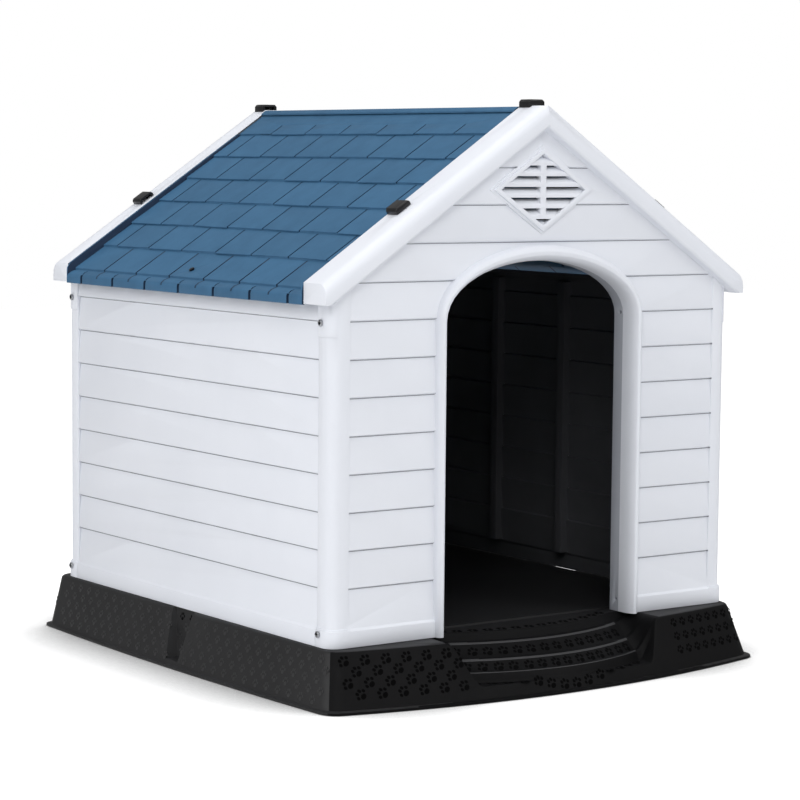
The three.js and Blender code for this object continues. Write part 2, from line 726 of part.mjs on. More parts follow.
function roofPanel(isRight) {
  const eaveX = -halfWide - eaveReach;
  const eaveFoot = springZ + 19;
  const under = -panelUnder;
  const lipTop = apexZ - 6;
  const outer = [];
  if (isRight) {
    outer.push(v2(ridgeLip, lipTop - 4.6));
    outer.push(v2(ridgeLip - 7, lipTop));
    outer.push(v2(-ridgeLip + 7, lipTop));
    outer.push(roofPoint(ridgeLip / downX + 8, -1.2));
  } else {
    outer.push(v2(-1.5, apexZ - 9.6));
    outer.push(v2(-11.2, apexZ - 9.6));
  }
  for (const p of roofLine(30)) {
    outer.push(roofPoint(p.x, p.y));
  }
  outer.push(roofPoint(turnDown, -0.9));
  const shoulder = roofPoint(turnDown, -0.9);
  const bends = [[0.38, 0.06], [0.7, 0.25], [0.92, 0.6], [1, 1]];
  for (const [a, b] of bends) {
    outer.push(v2(shoulder.x + (eaveX - shoulder.x) * a, shoulder.y - 1.4 - 5 * b));
  }
  outer.push(v2(eaveX, eaveFoot));
  const inner = [v2(eaveX + roofSkin, eaveFoot)];
  const insideTurn = roofPoint(turnDown - 3, under);
  inner.push(v2(eaveX + roofSkin, shoulder.y - 9));
  inner.push(insideTurn);
  if (isRight) {
    inner.push(roofPoint(18, under));
    inner.push(v2(-3, lipTop - 2.9));
    inner.push(v2(ridgeLip - 6.4, lipTop - 2.9));
    inner.push(v2(ridgeLip, lipTop - 7.1));
  } else {
    inner.push(roofPoint(18, under));
    inner.push(v2(-1.5, apexZ - 13.4));
  }
  const y0 = yFront + frontTrimCover + gap;
  const y1 = yRear - rearTrimCover - gap;
  const rimTop = (x) => apexZ + roofSlope * x - 0.8;
  const rim = [
    roofPoint(60, under), v2(-60, rimTop(-60)), v2(shoulder.x, rimTop(shoulder.x)),
    v2(eaveX + 0.6, rimTop(eaveX) - 3), v2(eaveX, rimTop(eaveX) - 7), v2(eaveX, eaveFoot),
    v2(eaveX + roofSkin, eaveFoot), v2(eaveX + roofSkin, shoulder.y - 9), insideTurn,
  ];
  const rims = [alongY(rim, y0, y0 + rimThick), alongY(rim, y1 - rimThick, y1)];
  const sheet = joinAll([alongY([...outer, ...inner], y0, y1), ...rims]);
  const cuts = [];
  const cut = (down0, down1, y, wide, deep) => {
    const piece = box(-1 * (down1 - down0), 0, -wide / 2, wide / 2, -deep, 6);
    const frame = new THREE.Matrix4().makeBasis(v3(panelX, 0, panelZ), axisY, v3(-panelZ, 0, panelX));
    const at = roofPoint(down0, -0.6);
    frame.setPosition(v3(at.x, y, at.y));
    return moved(piece, frame);
  };
  const middle = (y0 + y1) / 2 + tabShift;
  const tabReach = Math.ceil((y1 - y0) / 2 / tabWide);
  for (let row = 0; row <= courseCount; row += 1) {
    const end = row < courseCount ? firstCourse + row * courseStep : turnDown + 3;
    const begin = row === 0 ? firstCourse - 22 : firstCourse + (row - 1) * courseStep + 1.5;
    const shift = row % 2 === 0 ? 0 : 0.5;
    for (let k = -tabReach; k <= tabReach; k += 1) {
      const y = middle + (k + shift) * tabWide;
      if (y < y0 + 12 || y > y1 - 12) {
        continue;
      }
      cuts.push(cut(begin, end + 0.5, y, tabGroove, courseDepth - 0.4));
      if (row === courseCount) {
        const slitHalf = eaveSlit / 2;
        cuts.push(box(eaveX - 4, eaveX + roofSkin + 3, y - slitHalf, y + slitHalf, 0, shoulder.y - 3));
      }
    }
  }
  const screwFoot = roofPoint(turnDown - roofScrewUp, -20);
  const screwY = (y0 + y1) / 2 + roofScrewShift;
  cuts.push(rod(2.4, 40, 16, v3(-panelZ, 0, panelX), v3(screwFoot.x, screwY, screwFoot.y)));
  const panel = cutAll(sheet, cuts);
  return isRight ? mirrorX(panel) : panel;
}

function roofScrew(isRight) {
  const y0 = yFront + frontTrimCover + gap;
  const y1 = yRear - rearTrimCover - gap;
  const at = roofPoint(turnDown - roofScrewUp, -6);
  const normal = v3(-panelZ, 0, panelX);
  const start = v3(at.x, (y0 + y1) / 2 + roofScrewShift, at.y);
  const shank = rod(2, 5.6, 14, normal, start);
  const head = rod(3.6, 1.6, 16, normal, start.clone().addScaledVector(normal, 5.2));
  const screw = shank.add(head);
  return isRight ? mirrorX(screw) : screw;
}

// Hooded clip: closed outside, open towards the roof, with two pegs below.
function clip(isPeak) {
  const a = clipLong / 2;
  const b = clipWide / 2;
  const foot = isPeak ? -2.6 : gap;
  const outline = [v2(-a, foot), v2(a, foot), v2(a, clipTall - 3), v2(a - 3, clipTall)];
  outline.push(v2(-a + 3, clipTall));
  outline.push(v2(-a, clipTall - 3));
  let hood = alongY(outline, -b, b);
  const bevel = [v2(-b - 1, clipTall - 2), v2(-b + 3, clipTall + 2), v2(-b - 1, clipTall + 2)];
  hood = hood.subtract(alongX(bevel, -a - 1, a + 1));
  hood = hood.subtract(box(-a + 4, a - 4, -b + 4, b + 5, foot - 5, clipTall - 3.2));
  const pegs = [-1, 1].map((side) => {
    const x = side * (a - 5);
    return box(x - pegHalf, x + pegHalf, -pegHalf, pegHalf, -pegDeep, clipTall - 3);
  });
  let whole = joinAll([hood, ...pegs]);
  if (isPeak) {
    const flat = peakCut / roofSlope;
    const rise = gap;
    const under = [
      v2(-flat, rise), v2(flat, rise), v2(a + 2, rise - (a + 2 - flat) * roofSlope),
      v2(a + 2, -8), v2(-a - 2, -8), v2(-a - 2, rise - (a + 2 - flat) * roofSlope),
    ];
    const pegRoom = [-1, 1].map((side) => {
      const x = side * (a - 5);
      return box(x - pegHalf, x + pegHalf, -pegHalf, pegHalf, -pegDeep - 1, clipTall);
    });
    whole = whole.subtract(cutAll(alongY(under, -b - 2, b + 2), pegRoom));
  }
  return whole;
}

function cornerScrew(inset, z, proud) {
  const seat = -halfWide - gap - proud;
  const head = rod(screwHead / 2, 2, 18, axisX, v3(seat - 2, inset, z));
  const dome = rod(screwHead / 2 - 1.1, 0.7, 18, axisX, v3(seat - 2.7, inset, z));
  const shank = rod(screwShank / 2, 13 + proud, 14, axisX, v3(seat - 0.2, inset, z));
  const slot = box(seat - 9, seat - 1.7, inset - 0.5, inset + 0.5, z - 2.6, z + 2.6);
  const cross = box(seat - 9, seat - 1.7, inset - 2.6, inset + 2.6, z - 0.5, z + 0.5);
  return cutAll(joinAll([head, dome, shank]), [slot, cross]);
}

const house = new THREE.Group();
house.name = "dog_house";

function addPiece(solid, name, material) {
  house.add(toMesh(solid, name, material));
}

addPiece(baseTray(), "base_tray", black);
addPiece(toFront(gableWall(frontTrimCover, frontScrewInset, frontClipY, true)), "front_panel", white);
addPiece(toRear(gableWall(rearTrimCover, rearScrewInset, rearClipY, false)), "rear_panel", white);
addPiece(sideWall(), "side_panel_left", white);
addPiece(mirrorX(sideWall()), "side_panel_right", white);
addPiece(roofPanel(false), "roof_panel_left", blue);
addPiece(roofPanel(true), "roof_panel_right", blue);

for (const [end, inset, place] of [["front", frontClipY, toFront], ["rear", rearClipY, toRear]]) {
  for (const [side, frame] of Object.entries(clipFrames(inset))) {
    const piece = moved(clip(side === "peak"), frame);
    addPiece(place(piece), `roof_clip_${end}_${side}`, clipBlack);
  }
}

for (const [end, inset, place] of [["front", frontScrewInset, toFront], ["rear", rearScrewInset, toRear]]) {
  for (const [level, z, proud] of [["upper", springZ - 2, bossProud], ["lower", wallFoot + 16, bandProud]]) {
    const screw = cornerScrew(inset, z, proud);
    addPiece(place(screw), `corner_screw_${end}_left_${level}`, steel);
    addPiece(place(mirrorX(screw)), `corner_screw_${end}_right_${level}`, steel);
  }
}

addPiece(roofScrew(false), "roof_screw_left", steel);
addPiece(roofScrew(true), "roof_screw_right", steel);

export default house;
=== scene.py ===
import json
import math
import random

import bmesh
import bpy
from mathutils import Matrix, Vector

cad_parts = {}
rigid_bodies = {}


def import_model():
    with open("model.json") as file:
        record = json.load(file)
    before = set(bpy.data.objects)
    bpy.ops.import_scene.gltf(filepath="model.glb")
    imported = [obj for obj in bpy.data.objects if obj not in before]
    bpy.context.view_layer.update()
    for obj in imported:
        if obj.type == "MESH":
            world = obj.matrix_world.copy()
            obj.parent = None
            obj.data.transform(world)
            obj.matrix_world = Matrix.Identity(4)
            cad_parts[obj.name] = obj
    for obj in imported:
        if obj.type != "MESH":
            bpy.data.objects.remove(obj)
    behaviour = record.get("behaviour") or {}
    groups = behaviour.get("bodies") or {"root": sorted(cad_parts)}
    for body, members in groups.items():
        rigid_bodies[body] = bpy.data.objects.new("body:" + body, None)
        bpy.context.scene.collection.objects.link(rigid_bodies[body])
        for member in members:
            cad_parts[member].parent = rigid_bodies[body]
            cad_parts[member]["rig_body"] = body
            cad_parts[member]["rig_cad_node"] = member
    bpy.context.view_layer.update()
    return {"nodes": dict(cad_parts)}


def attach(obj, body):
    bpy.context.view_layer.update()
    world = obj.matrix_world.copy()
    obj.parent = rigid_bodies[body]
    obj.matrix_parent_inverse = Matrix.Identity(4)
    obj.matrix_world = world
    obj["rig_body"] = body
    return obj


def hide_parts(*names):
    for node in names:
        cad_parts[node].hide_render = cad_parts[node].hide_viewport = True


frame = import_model()
nodes = frame["nodes"]
print("frame loaded with", len(nodes), "nodes")

# the house in metres, front towards -Y
house = {"apexZ": 0.73005, "roofSlope": 0.662}
random.seed(11)


def deselectAll():
    if bpy.context.mode != "OBJECT":
        bpy.ops.object.mode_set(mode="OBJECT")
    bpy.ops.object.select_all(action="DESELECT")


def pick(*pieces):
    deselectAll()
    for piece in pieces:
        piece.select_set(True)
    bpy.context.view_layer.objects.active = pieces[0]


def editOn(piece, selectMode="FACE"):
    pick(piece)
    bpy.ops.object.mode_set(mode="EDIT")
    bpy.ops.mesh.select_mode(type=selectMode)


def editOff():
    bpy.ops.object.mode_set(mode="OBJECT")


def applyModifier(piece, kind, **settings):
    modifier = piece.modifiers.new(kind.lower(), kind)
    for key, value in settings.items():
        setattr(modifier, key, value)
    pick(piece)
    bpy.ops.object.modifier_apply(modifier=modifier.name)


def applyPlace(piece):
    pick(piece)
    bpy.ops.object.transform_apply(location=True, rotation=True, scale=True)


def copyOf(source, name):
    piece = source.copy()
    piece.data = source.data.copy()
    piece.name = name
    piece.data.name = name
    piece.parent = None
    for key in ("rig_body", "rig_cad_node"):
        if key in piece:
            del piece[key]
    piece.hide_render = False
    piece.hide_viewport = False
    bpy.context.scene.collection.objects.link(piece)
    return piece


def joinPieces(pieces, name):
    pick(*pieces)
    bpy.ops.object.join()
    joined = bpy.context.object
    joined.name = name
    joined.data.name = name
    return joined


# a CAD node's copy with welded corners, flat faces made whole and soft edges
def softCopy(nodeName, name, edge, segments=2):
    piece = copyOf(nodes[nodeName], name)
    editOn(piece)
    bpy.ops.mesh.select_all(action="SELECT")
    bpy.ops.mesh.remove_doubles(threshold=0.00001)
    bpy.ops.mesh.dissolve_limited(angle_limit=math.radians(0.6))
    editOff()
    pick(piece)
    bpy.ops.mesh.customdata_custom_splitnormals_clear()
    if edge > 0:
        applyModifier(
            piece, "BEVEL", width=edge, segments=segments, limit_method="ANGLE",
            angle_limit=math.radians(32), use_clamp_overlap=False, miter_outer="MITER_ARC",
        )
    pick(piece)
    bpy.ops.object.shade_smooth_by_angle(angle=math.radians(34))
    return piece


def setMaterials(piece, *materials):
    piece.data.materials.clear()
    for material in materials:
        piece.data.materials.append(material)


def standFor(piece, body, slotName, *nodeNames):
    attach(piece, body)
    if nodeNames:
        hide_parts(*nodeNames)


whiteLook = {
    "name": "panelWhite",
    "colour": (0.775, 0.797, 0.852),
    "shade": (0.742, 0.766, 0.824),
    "patch": 5.0,
    "grain": 900.0,
    "rough": (0.40, 0.50),
    "bump": 0.00004,
    "specular": 0.35,
}
# painted shade: the inside faces of the white panels get this near-black grey instead of their white
roomLook = {
    "name": "roomShade",
    "colour": (0.075, 0.077, 0.084),
    "shade": (0.058, 0.060, 0.066),
    "patch": 7.0,
    "grain": 700.0,
    "rough": (0.55, 0.65),
    "bump": 0.00004,
    "specular": 0.2,
}
blueLook = {
    "name": "roofBlue",
    "colour": (0.044, 0.136, 0.252),
    "shade": (0.036, 0.116, 0.220),
    "tabTone": (0.95, 1.05),
    "patch": 34.0,
    "grain": 1300.0,
    "rough": (0.50, 0.64),
    "bump": 0.00009,
    "specular": 0.3,
}
blackLook = {
    "name": "baseBlack",
    "colour": (0.0125, 0.0125, 0.0135),
    "shade": (0.0090, 0.0090, 0.0098),
    "patch": 9.0,
    "grain": 1500.0,
    "rough": (0.46, 0.58),
    "bump": 0.00007,
    "specular": 0.35,
}
pawLook = {
    "name": "pawGloss",
    "colour": (0.023, 0.023, 0.024),
    "shade": (0.019, 0.019, 0.020),
    "patch": 30.0,
    "grain": 600.0,
    "rough": (0.32, 0.40),
    "bump": 0.00001,
    "specular": 0.45,
}
clipLook = {
    "name": "clipBlack",
    "colour": (0.005, 0.005, 0.006),
    "shade": (0.004, 0.004, 0.005),
    "patch": 40.0,
    "grain": 900.0,
    "rough": (0.26, 0.36),
    "bump": 0.00003,
    "specular": 0.45,
}
steelLook = {
    "name": "screwSteel",
    "colour": (0.50, 0.51, 0.53),
    "shade": (0.36, 0.37, 0.39),
    "patch": 260.0,
    "grain": 2500.0,
    "rough": (0.24, 0.36),
    "bump": 0.00002,
    "specular": 0.5,
    "metal": 1.0,
}


# moulded plastic or plated steel: slow patches of tone, fine grain in gloss and bump
def newMaterial(look):
    material = bpy.data.materials.new(look["name"])
    material.use_nodes = True
    tree = material.node_tree
    tree.nodes.clear()
    make = tree.nodes.new
    link = tree.links.new
    out = make("ShaderNodeOutputMaterial")
    shader = make("ShaderNodeBsdfPrincipled")
    shader.inputs["Metallic"].default_value = look.get("metal", 0.0)
    shader.inputs["Specular IOR Level"].default_value = look["specular"]
    link(shader.outputs["BSDF"], out.inputs["Surface"])
    place = make("ShaderNodeTexCoord")
    patch = make("ShaderNodeTexNoise")
    patch.inputs["Scale"].default_value = look["patch"]
    patch.inputs["Detail"].default_value = 4.0
    patch.inputs["Roughness"].default_value = 0.6
    link(place.outputs["Object"], patch.inputs["Vector"])
    grain = make("ShaderNodeTexNoise")
    grain.inputs["Scale"].default_value = look["grain"]
    grain.inputs["Detail"].default_value = 2.0
    link(place.outputs["Object"], grain.inputs["Vector"])
    spread = make("ShaderNodeMapRange")
    spread.inputs["From Min"].default_value = 0.32
    spread.inputs["From Max"].default_value = 0.68
    link(patch.outputs["Fac"], spread.inputs["Value"])
    colour = make("ShaderNodeMix")
    colour.data_type = "RGBA"
    colour.inputs[6].default_value = (*look["shade"], 1)
    colour.inputs[7].default_value = (*look["colour"], 1)
    link(spread.outputs["Result"], colour.inputs[0])
    tone = colour.outputs[2]
    if look.get("tabTone"):
        tone = addTabTone(tree, tone, look)
    link(tone, shader.inputs["Base Color"])
    gloss = make("ShaderNodeMapRange")
    gloss.inputs["To Min"].default_value = look["rough"][0]
    gloss.inputs["To Max"].default_value = look["rough"][1]
    link(grain.outputs["Fac"], gloss.inputs["Value"])
    link(gloss.outputs["Result"], shader.inputs["Roughness"])
    bump = make("ShaderNodeBump")
    bump.inputs["Strength"].default_value = 0.6
    bump.inputs["Distance"].default_value = look["bump"]
    link(grain.outputs["Fac"], bump.inputs["Height"])
    link(bump.outputs["Normal"], shader.inputs["Normal"])
    return material


# each shingle's own tone, kept in the mesh as "tone"
def addTabTone(tree, colourOut, look):
    own = tree.nodes.new("ShaderNodeAttribute")
    own.attribute_name = "tone"
    level = tree.nodes.new("ShaderNodeMapRange")
    level.inputs["To Min"].default_value = look["tabTone"][0]
    level.inputs["To Max"].default_value = look["tabTone"][1]
    tree.links.new(own.outputs["Fac"], level.inputs["Value"])
    scaled = tree.nodes.new("ShaderNodeVectorMath")
    scaled.operation = "SCALE"
    tree.links.new(colourOut, scaled.inputs[0])
    tree.links.new(level.outputs["Result"], scaled.inputs["Scale"])
    return scaled.outputs["Vector"]


panelWhite = newMaterial(whiteLook)
roomShade = newMaterial(roomLook)
roofBlue = newMaterial(blueLook)
# painted shade: a deep navy for the roof's grooves, risers, rims and what lies under the tabs
grooveShade = newMaterial({
    **blueLook, "name": "grooveShade", "tabTone": None,
    "colour": (0.008, 0.026, 0.062), "shade": (0.005, 0.019, 0.050),
})
# painted shadow: the grey of the strip just under each board's lip
lapShadow = newMaterial({
    **whiteLook, "name": "lapShadow", "colour": (0.27, 0.28, 0.31), "shade": (0.23, 0.24, 0.27),
})
# painted shade: a mid grey that stands for the shaded white of the door's reveal
revealShade = newMaterial({
    **whiteLook, "name": "revealShade", "colour": (0.48, 0.50, 0.55), "shade": (0.43, 0.45, 0.50),
})
baseBlack = newMaterial(blackLook)
# painted shade: a darker, less shiny copy of the base black for its front faces and the ramp
baseShade = newMaterial({
    **blackLook, "name": "baseShade", "specular": 0.07,
    "colour": (0.0050, 0.0050, 0.0054), "shade": (0.0036, 0.0036, 0.0040),
})
# painted highlight: a lighter grey along the crests of the ramp's ribs
crestHighlight = newMaterial({
    **blackLook, "name": "crestHighlight", "colour": (0.036, 0.036, 0.038), "shade": (0.028, 0.028, 0.030),
})
pawGloss = newMaterial(pawLook)
# painted shade: a darker, matt copy of the paw colour for the paws away from the sides
pawShade = newMaterial({
    **pawLook, "name": "pawShade", "rough": (0.5, 0.6), "specular": 0.02,
    "colour": (0.0020, 0.0020, 0.0021), "shade": (0.0015, 0.0015, 0.0016),
})
clipBlack = newMaterial(clipLook)
screwSteel = newMaterial(steelLook)
screwShade = newMaterial({
    **steelLook, "name": "screwShade", "colour": (0.030, 0.035, 0.045), "shade": (0.018, 0.022, 0.030),
})
print("materials made")

panelPlan = {
    "round": 0.0005,
    "underTrim": 0.046,
    "roomHalf": 0.3105,
    # the door's reveal gets a painted shade of grey between these two places, and the dark painted room
    # shade behind them
    "doorShade": -0.2835,
    "doorBack": -0.2668,
    "doorHalf": 0.16,
    "doorTop": 0.55,
    # the painted shadow strip under each lap: first lap, step, how many, and the strip's height
    "firstLap": 0.14265,
    "lap": 0.046,
    "laps": 12,
    "shadowStrip": 0.0015,
    "frontBoards": {"half": 0.2935, "y": (-0.3004, -0.2962)},
    "sideBoards": {"x": (0.3112, 0.3154), "y": (-0.27, 0.328)},
}


def inRoom(point):
    below = point.z < house["apexZ"] - panelPlan["underTrim"] - house["roofSlope"] * abs(point.x)
    return below and abs(point.x) < panelPlan["roomHalf"]


def nearDoor(point):
    return abs(point.x) < panelPlan["doorHalf"] and point.z < panelPlan["doorTop"]


# faces that look into the room get the dark room colour: painted shade for the dark inside of the house
def shadeRoom(piece, isRoom):
    for face in piece.data.polygons:
        if isRoom(face.center, face.normal):
            face.material_index = 1


# painted shadow under each board's lip: the strip is cut along its foot, then given a grey that stands
# for the shadow
def shadeLaps(piece, slotAt, isBoard):
    shadowStrip = panelPlan["shadowStrip"]
    slack = 0.0003
    laps = [panelPlan["firstLap"] + panelPlan["lap"] * k for k in range(panelPlan["laps"])]
    for z in laps:
        editOn(piece)
        bpy.ops.mesh.select_all(action="SELECT")
        bpy.ops.mesh.bisect(plane_co=(0, 0, z - shadowStrip), plane_no=(0, 0, 1))
        editOff()
    for face in piece.data.polygons:
        away = min(abs(face.center.z - z + shadowStrip / 2) for z in laps)
        if isBoard(face.center) and away < shadowStrip / 2 + slack and face.normal.z > -0.5:
            face.material_index = slotAt


def isFrontBoard(at):
    plan = panelPlan["frontBoards"]
    return abs(at.x) < plan["half"] and plan["y"][0] < at.y < plan["y"][1]


def isSideBoard(at):
    plan = panelPlan["sideBoards"]
    return plan["x"][0] < abs(at.x) < plan["x"][1] and plan["y"][0] < at.y < plan["y"][1]


frontPanel = softCopy("front_panel", "frontPanel", panelPlan["round"])
editOn(frontPanel)
bpy.ops.mesh.select_all(action="DESELECT")
mesh = bmesh.from_edit_mesh(frontPanel.data)
for face in mesh.faces:
    middle = face.calc_center_median()
    face.select = nearDoor(middle) and -0.3 < middle.y < -0.262 and abs(face.normal.y) < 0.5
bmesh.update_edit_mesh(frontPanel.data)
bpy.ops.mesh.bisect(plane_co=(0, panelPlan["doorShade"], 0), plane_no=(0, 1, 0))
editOff()
setMaterials(frontPanel, panelWhite, roomShade, lapShadow, revealShade)
shadeRoom(frontPanel, lambda at, way: inRoom(at) and (
    at.y > panelPlan["doorShade"] or (way.y > 0.5 and at.y > -0.2965)))
# painted shade on the door's reveal
for face in frontPanel.data.polygons:
    if nearDoor(face.center) and panelPlan["doorShade"] < face.center.y < panelPlan["doorBack"]:
        face.material_index = 3
shadeLaps(frontPanel, 2, isFrontBoard)
standFor(frontPanel, "house", "panel_white", "front_panel")

rearPanel = softCopy("rear_panel", "rearPanel", panelPlan["round"])
setMaterials(rearPanel, panelWhite, roomShade)
shadeRoom(rearPanel, lambda at, way: inRoom(at) and way.y < -0.5 and at.y < 0.3545)
standFor(rearPanel, "house", "panel_white", "rear_panel")

for sideName in ("left", "right"):
    panel = softCopy("side_panel_" + sideName, "sidePanel." + sideName, panelPlan["round"])
    setMaterials(panel, panelWhite, roomShade, lapShadow)
    shadeRoom(panel, lambda at, way: way.x * at.x < -0.5 * abs(at.x) or (
        abs(at.x) < panelPlan["roomHalf"] and way.x * at.x < 0.3 * abs(at.x)))
    shadeLaps(panel, 2, isSideBoard)
    standFor(panel, "house", "panel_white", "side_panel_" + sideName)
print("wall panels made")

# the ramp's upper edge is a curve, and a run is the way in front of it
rampPlan = {
    "start": -0.312,
    "curve": 1.7,
    "wallHalf": 0.185,
    "crests": (0.0124, 0.0368, 0.0560),
    "crestHalf": 0.130,
    "crestEdges": (-0.0012, 0.0011),
}


def rampLine(x):
    return rampPlan["start"] + rampPlan["curve"] * x ** 2


def onCrest(run):
    low, high = rampPlan["crestEdges"]
    return any(low < run - crest < high for crest in rampPlan["crests"])


tray = softCopy("base_tray", "baseTray", 0.0007)
setMaterials(tray, baseBlack, baseShade, crestHighlight)
for face in tray.data.polygons:
    at = face.center
    run = rampLine(at.x) - at.y
    inRamp = abs(at.x) < rampPlan["wallHalf"] and run > -0.001
    # front-facing faces and the ramp get the painted shade
    if (face.normal.y < -0.45 and at.y < -0.30) or inRamp:
        face.material_index = 1
    # the rib crests get the painted highlight
    if inRamp and abs(at.x) < rampPlan["crestHalf"] and onCrest(run):
        face.material_index = 2
standFor(tray, "house", "base_black", "base_tray")

pawPlan = {
    "size": 0.0150,
    "proud": 0.00035,
    "sunk": 0.00012,
    # rows are heights on the skirt, runs are places down the ramp; steps go along them
    "side": {"rows": (0.0600, 0.0480, 0.0360, 0.0240, 0.0120), "step": 0.0240, "turn": 8, "grow": 0.78},
    "front": {"rows": (0.0590, 0.0465, 0.0335, 0.0205), "step": 0.0270, "turn": 52},
    "frontRight": {"rows": (0.0600, 0.0435, 0.0270), "step": 0.0172, "turn": 12, "grow": 0.82},
    "ramp": {"runs": (-0.008, 0.0245, 0.0465, 0.0660), "step": 0.0195, "turn": 30, "scatter": 0.001},
}


# one paw: a broad pad and four toes, flat, with a low rounded rim
def modelPaw():
    size = pawPlan["size"]
    pads = [
        {"at": (0.02, -0.20), "wide": 0.27, "tall": 0.22, "sides": 8},
        {"at": (-0.37, 0.06), "wide": 0.13, "tall": 0.17, "sides": 6},
        {"at": (-0.14, 0.34), "wide": 0.13, "tall": 0.18, "sides": 6},
        {"at": (0.17, 0.34), "wide": 0.13, "tall": 0.18, "sides": 6},
        {"at": (0.41, 0.06), "wide": 0.13, "tall": 0.17, "sides": 6},
    ]
    made = []
    for pad in pads:
        deselectAll()
        across, up = pad["at"]
        bpy.ops.mesh.primitive_circle_add(
            vertices=pad["sides"], radius=size, fill_type="NGON", location=(across * size, up * size, 0))
        disc = bpy.context.object
        disc.scale = (pad["wide"], pad["tall"], 1)
        applyPlace(disc)
        editOn(disc)
        bpy.ops.mesh.select_all(action="SELECT")
        bpy.ops.mesh.extrude_region_move(TRANSFORM_OT_translate={"value": (0, 0, pawPlan["proud"])})
        bpy.ops.mesh.inset(thickness=size * 0.025, depth=0)
        bpy.ops.mesh.select_all(action="SELECT")
        bpy.ops.mesh.normals_make_consistent(inside=False)
        editOff()
        made.append(disc)
    return joinPieces(made, "pawModel")


# a copy of the paw laid on the tray where this line meets it
def layPaw(model, start, way, turn, least=0.0, grow=1.0):
    hit, at, normal, _ = tray.ray_cast(start, way)
    if not hit or normal.dot(way) > -0.35 or at.z < 0.0065 or normal.z < least:
        return None
    side = Vector((0, 0, 1)).cross(normal)
    if side.length < 0.2:
        side = Vector((1, 0, 0))
    side = (side - normal * side.dot(normal)).normalized()
    upward = normal.cross(side)
    frameAt = Matrix((side, upward, normal)).transposed().to_4x4()
    spin = Matrix.Rotation(math.radians(turn), 4, "Z")
    paw = copyOf(model, "paw")
    place = Matrix.Translation(at - normal * pawPlan["sunk"]) @ frameAt
    paw.data.transform(place @ spin @ Matrix.Scale(grow, 4))
    return paw


def layPaws():
    model = modelPaw()
    laid = []
    side = pawPlan["side"]
    for sign in (-1, 1):
        for row, z in enumerate(side["rows"]):
            for k in range(-17, 18):
                y = 0.018 + (k + 0.5 * (row % 2)) * side["step"]
                if -0.318 < y < 0.352:
                    start, way = Vector((sign * 0.5, y, z)), Vector((-sign, 0, 0))
                    laid.append(layPaw(model, start, way, side["turn"], grow=side["grow"]))
    front = pawPlan["front"]
    for row, z in enumerate(front["rows"]):
        for k in range(6):
            x = -0.308 + (k + 0.5 * (row % 2)) * front["step"]
            laid.append(layPaw(model, Vector((x, -0.6, z)), Vector((0, 1, 0)), front["turn"]))
    right = pawPlan["frontRight"]
    for z in right["rows"]:
        for k in range(8):
            start, way = Vector((0.196 + k * right["step"], -0.6, z)), Vector((0, 1, 0))
            laid.append(layPaw(model, start, way, right["turn"], grow=right["grow"]))
    for row, z in enumerate(front["rows"]):
        for k in range(-13, 14):
            x = (k + 0.5 * (row % 2)) * front["step"]
            if abs(x) < 0.325:
                laid.append(layPaw(model, Vector((x, 0.6, z)), Vector((0, -1, 0)), front["turn"]))
    ramp = pawPlan["ramp"]
    for run in ramp["runs"]:
        for k in range(-9, 10):
            x = (k + 0.25) * ramp["step"] + random.uniform(-ramp["scatter"], ramp["scatter"])
            if abs(x) < 0.134:
                start = Vector((x, rampLine(x) - run, 0.2))
                laid.append(layPaw(model, start, Vector((0, 0, -1)), ramp["turn"], least=0.4))
    bpy.data.objects.remove(model)
    return joinPieces([paw for paw in laid if paw], "trayPaws")


# the side paws shine a little; the others get a painted shade darker than the tray
paws = layPaws()
setMaterials(paws, pawGloss, pawShade)
for face in paws.data.polygons:
    face.material_index = 0 if abs(face.center.x) > 0.318 and face.center.y > -0.328 else 1
standFor(paws, "house", "base_black")
print("base made")

roofPlan = {
    "slope": 0.700,  # the roof halves are a little steeper than the trims
    "firstRow": 0.0305,
    "riser": 0.0012,
    "firstCourse": 0.0685,
    "courseStep": 0.0541,
    "courses": 6,
    "tabWide": 0.086,
    "middleY": 0.070,
    "frontY": -0.2600,
    "rearY": 0.3238,
    "centreY": 0.032,
    "foot": -0.0006,  # height of a course over the slope, at its foot and at its head
    "head": -0.0032,
    "joint": 0.0034,
    "lift": 0.0005,
    "overhang": (0.0002, 0.0018),
    "tilt": 0.0011,
    "turnDown": 0.4023,
}
slopeRun = 1 / math.hypot(1, roofPlan["slope"])
slopeRise = roofPlan["slope"] * slopeRun


# a point of the left half by its way down the slope and its height over it
def roofPoint(down, y, up):
    height = house["apexZ"] - down * slopeRise + up * slopeRun
    return Vector((-down * slopeRun - up * slopeRise, y, height))


# the same two measures of a point on either half
def roofPlace(point):
    x, z = -abs(point.x), point.z - house["apexZ"]
    return -x * slopeRun - z * slopeRise, -x * slopeRise + z * slopeRun


def courseEnds(row):
    end = roofPlan["firstCourse"] + row * roofPlan["courseStep"]
    if row == 0:
        return roofPlan["firstRow"], end
    return roofPlan["firstCourse"] + (row - 1) * roofPlan["courseStep"] + roofPlan["riser"], end


def tabToneAt(row, y):
    shift = 0 if row % 2 == 0 else 0.5
    column = math.floor((y - roofPlan["middleY"]) / roofPlan["tabWide"] - shift)
    return random.Random(row * 97 + column * 13 + 5).random()


def addTone(piece, toneOf):
    layer = piece.data.attributes.new("tone", "FLOAT", "FACE")
    for face in piece.data.polygons:
        layer.data[face.index].value = toneOf(face.center)


# one shingle tab: a wedge, thin at its upper edge, with its rims rounded
def modelTab():
    deselectAll()
    bpy.ops.mesh.primitive_cube_add(size=1, location=(-0.5, 0, -0.5))
    tab = bpy.context.object
    tab.name = "tabModel"
    applyPlace(tab)
    return tab


def roundTab(tab):
    editOn(tab, "EDGE")
    bpy.ops.mesh.select_all(action="DESELECT")
    mesh = bmesh.from_edit_mesh(tab.data)
    for edge in mesh.edges:
        ends = [corner.co for corner in edge.verts]
        edge.select = all(end.z > -0.001 for end in ends) and not all(end.x > -0.001 for end in ends)
    bmesh.update_edit_mesh(tab.data)
    bpy.ops.mesh.bevel(offset=0.0006, segments=2, affect="EDGES")
    editOff()


